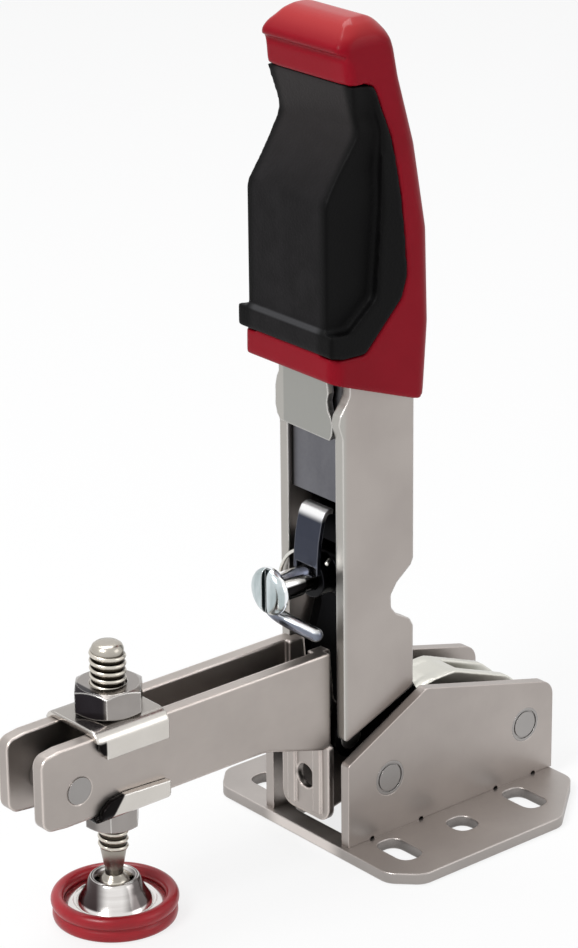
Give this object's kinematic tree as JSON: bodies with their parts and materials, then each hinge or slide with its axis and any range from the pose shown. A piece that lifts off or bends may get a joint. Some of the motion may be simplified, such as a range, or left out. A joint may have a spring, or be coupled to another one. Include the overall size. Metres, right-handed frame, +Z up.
{
  "type": "toggle clamp",
  "caption": "Upright toggle clamp with a flat flanged base, an open forked arm, a threaded spindle with a rubber rimmed swivel pad and a tall handle with a moulded grip.",
  "frame": {"origin": "midway between the two round base holes, on the underside of the base plate", "axes": "+Z up from the bench through the base, -X along the arm towards the pad, +Y completes the frame and is parallel to the rivets"},
  "size_m": [0.1408, 0.069, 0.1927],
  "materials": {
    "base_plate": "bright zinc plated sheet",
    "side_walls": "bright zinc plated sheet",
    "rivets": "satin steel, heads ground flush",
    "bushes": "dark turned steel",
    "arm": "bright nickel plated sheet",
    "toggle_link": "bright zinc plated sheet",
    "handle_stem": "bright zinc plated sheet",
    "toggle_lever": "blued steel",
    "adjuster_block": "blued steel",
    "adjuster_leaf": "blued spring strip",
    "adjusting_screw": "polished plated steel",
    "screw_bracket": "polished plated steel",
    "washers": "bright zinc plated sheet",
    "nuts": "plated steel",
    "spindle": "plated threaded steel",
    "pad_plate": "polished steel",
    "pad_ring": "red elastomer",
    "grip_shell": "red moulded plastic",
    "grip_insert": "black soft moulded plastic"
  },
  "bodies": {
    "base": {"base_plate": "base_plate", "wall_near": "side_walls", "wall_far": "side_walls", "arm_pivot_rivet": "rivets", "link_pivot_rivet": "rivets", "arm_bush_near": "bushes", "arm_bush_far": "bushes", "link_bush_near": "bushes", "link_bush_far": "bushes"},
    "arm": {"arm": "arm", "arm_tip_rivet": "rivets"},
    "handle": {"handle_stem": "handle_stem", "toggle_lever": "toggle_lever", "handle_pin": "rivets", "toggle_pin": "rivets", "adjuster_block": "adjuster_block", "adjuster_leaf": "adjuster_leaf", "screw_bracket": "screw_bracket", "grip_shell": "grip_shell", "grip_insert": "grip_insert"},
    "screw": {"adjusting_screw": "adjusting_screw"},
    "link": {"toggle_link": "toggle_link"},
    "carriage": {"upper_flanged_washer": "washers", "lower_flanged_washer": "washers", "spindle_nut": "nuts", "lower_nut": "nuts"},
    "spindle": {"spindle": "spindle"},
    "pad": {"pad_plate": "pad_plate", "pad_ring": "pad_ring"}
  },
  "joints": [
    {"name": "arm_lift", "type": "hinge", "parent": "base", "child": "arm", "pos_m": [-0.015, 0, 0.016], "axis": [0, 1, 0], "range_deg": [0, 80]},
    {"name": "handle_tilt", "type": "hinge", "parent": "arm", "child": "handle", "pos_m": [-0.0213, 0, 0.026], "axis": [0, 1, 0], "range_deg": [-17.1, 0.1]},
    {"name": "link_swing", "type": "hinge", "parent": "base", "child": "link", "pos_m": [0.0266, 0, 0.016], "axis": [0, 1, 0], "range_deg": [-32.7, 0.1]},
    {"name": "carriage_slide", "type": "slide", "parent": "arm", "child": "carriage", "axis": [1, 0, 0], "range_m": [-0.005, 0.022]},
    {"name": "spindle_height", "type": "slide", "parent": "carriage", "child": "spindle", "axis": [0, 0, 1], "range_m": [-0.008, 0.006]},
    {"name": "pad_swivel", "type": "hinge", "parent": "spindle", "child": "pad", "pos_m": [-0.0819, 0, 0.0069], "axis": [0, 1, 0], "range_deg": [-12, 12]},
    {"name": "screw_turn", "type": "hinge", "parent": "handle", "child": "screw", "pos_m": [-0.0273, 0, 0.0633], "axis": [1, 0, 0], "continuous": true}
  ],
  "couplings": [
    {"joint": "handle_tilt", "follows": "arm_lift", "ratio": -0.2125},
    {"joint": "link_swing", "follows": "arm_lift", "ratio": -0.4074}
  ]
}
